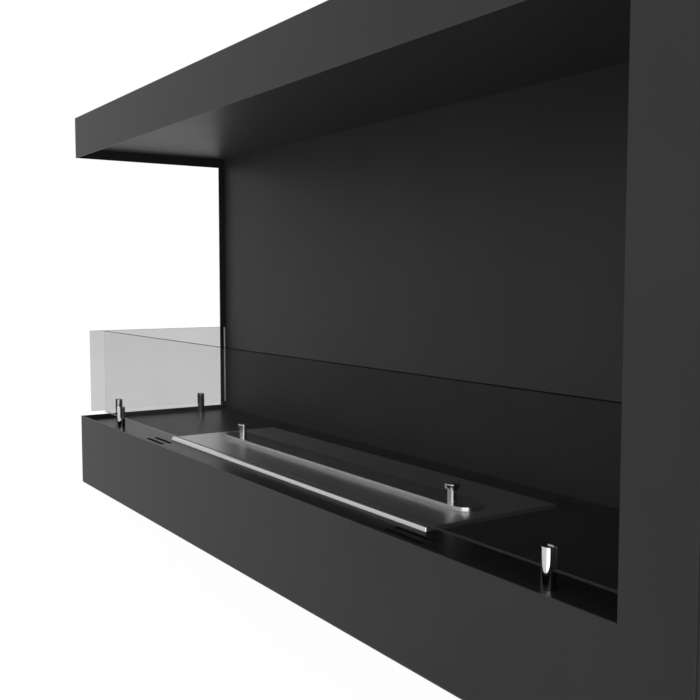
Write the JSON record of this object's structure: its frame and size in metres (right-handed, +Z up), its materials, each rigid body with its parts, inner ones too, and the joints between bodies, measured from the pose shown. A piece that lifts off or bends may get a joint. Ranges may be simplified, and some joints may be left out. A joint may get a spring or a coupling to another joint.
{
  "type": "bioethanol fireplace",
  "caption": "Built-in bioethanol fireplace: a black steel casing open at its front and left side, with a lidded stainless burner in its floor and low glass panes in slotted posts.",
  "frame": {"origin": "middle of the footprint, on the plane that the base rests on", "axes": "+X along the casing towards its closed right end, +Y towards the wall behind it, +Z up"},
  "size_m": [1.2, 0.268, 0.6],
  "materials": {
    "coat": "black powder coat, fine-grained satin",
    "steel": "stainless sheet, brushed lengthwise",
    "chrome": "polished",
    "zinc": "zinc plated, dull",
    "glass": "clear toughened glass with ground edges",
    "lining": "pale silicone, matte",
    "wool": "ceramic fibre, matte"
  },
  "bodies": {
    "casing": {"front_frame": "coat", "back_panel": "coat", "back_edge_strip": "coat", "base_side_left": "coat", "hood_side_left": "coat", "right_side_panel": "coat", "inner_side_panel": "coat", "top_panel": "coat", "ceiling_panel": "coat", "base_shelf": "coat", "shelf_rail_front": "zinc", "shelf_rail_back": "zinc", "shelf_rail_left": "zinc", "shelf_rail_right": "zinc", "bottom_panel": "coat", "overflow_tray": "zinc", "front_glass": "glass", "side_glass": "glass", "bottom_screw_front_1": "zinc", "bottom_screw_back_1": "zinc", "bottom_screw_front_2": "zinc", "bottom_screw_back_2": "zinc", "bottom_screw_front_3": "zinc", "bottom_screw_back_3": "zinc", "bottom_screw_front_4": "zinc", "bottom_screw_back_4": "zinc", "post_front_left": "chrome", "post_front_right": "chrome", "post_side_front": "chrome", "post_side_back": "chrome", "lining_front_left": "lining", "lining_front_right": "lining", "lining_side_front": "lining", "lining_side_back": "lining", "post_screw_front_left": "zinc", "post_screw_front_right": "zinc", "post_screw_side_front": "zinc", "post_screw_side_back": "zinc"},
    "burner": {"burner_plate": "steel", "burner_tank": "steel", "wool_pad": "wool", "wool_screen": "steel"},
    "lid": {"burner_lid": "steel", "lid_knob_left": "chrome", "lid_knob_right": "chrome", "knob_screw_left": "zinc", "knob_screw_right": "zinc"}
  },
  "joints": [
    {"name": "burner_lift", "type": "slide", "parent": "casing", "child": "burner", "axis": [0, 0, 1], "range_m": [0, 0.08]},
    {"name": "lid_lift", "type": "slide", "parent": "burner", "child": "lid", "axis": [0, 0, 1], "range_m": [0, 0.06]}
  ]
}
